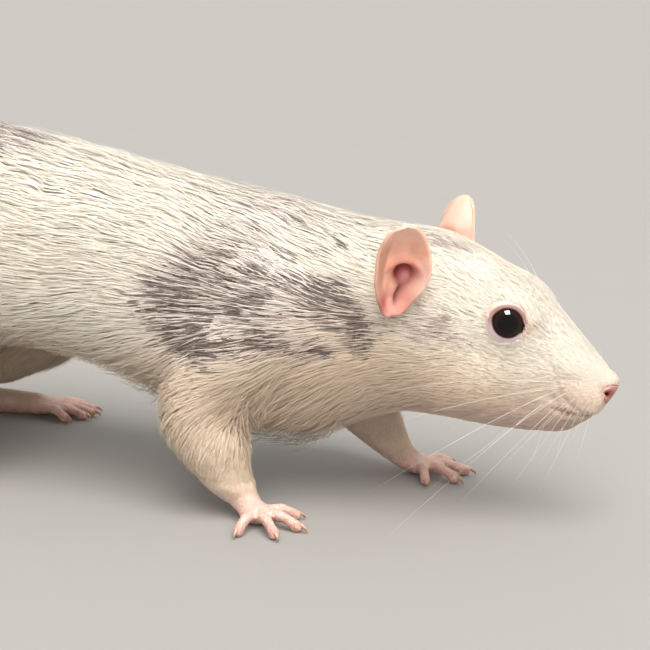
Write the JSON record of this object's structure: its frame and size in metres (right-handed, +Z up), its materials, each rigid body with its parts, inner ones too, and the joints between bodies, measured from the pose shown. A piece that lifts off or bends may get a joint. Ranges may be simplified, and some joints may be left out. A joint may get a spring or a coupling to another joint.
{
  "type": "pet rat",
  "caption": "Life-size pet rat standing on all fours on a level floor, cream with a grey roan back, bare pink ears, paws and tail.",
  "frame": {"origin": "on the floor, under the middle of the whole rat's bounding box", "axes": "+X from tail to nose, +Y to the rat's left, +Z up"},
  "size_m": [0.3344, 0.074, 0.0736],
  "materials": {
    "coat_cream": "short soft cream-white fur with long fine guard hairs",
    "coat_grey": "grey roan fur, dark underfur with white guard hairs",
    "whisker": "pale furred lip pad with stiff translucent whiskers",
    "ear_skin": "thin, nearly bare pink skin, darker red in the hollow",
    "paw_skin": "soft bare pink skin in fine rings, horn-coloured claws",
    "nose_skin": "moist bare pink skin",
    "tail_skin": "ringed scaly pink skin with short bristles",
    "eye_black": "wet glossy black"
  },
  "bodies": {
    "root": {"head": "coat_cream", "neck": "coat_cream", "chest": "coat_grey", "belly": "coat_grey", "rump": "coat_cream", "right_foreleg": "coat_cream", "left_foreleg": "coat_cream", "right_hind_leg": "coat_cream", "left_hind_leg": "coat_cream", "right_forepaw": "paw_skin", "left_forepaw": "paw_skin", "right_hind_foot": "paw_skin", "left_hind_foot": "paw_skin", "right_ear": "ear_skin", "left_ear": "ear_skin", "nose": "nose_skin", "right_whisker_pad": "whisker", "left_whisker_pad": "whisker", "right_eye": "eye_black", "left_eye": "eye_black", "tail_root": "tail_skin", "tail_fore": "tail_skin", "tail_middle": "tail_skin", "tail_end": "tail_skin"}
  },
  "joints": []
}
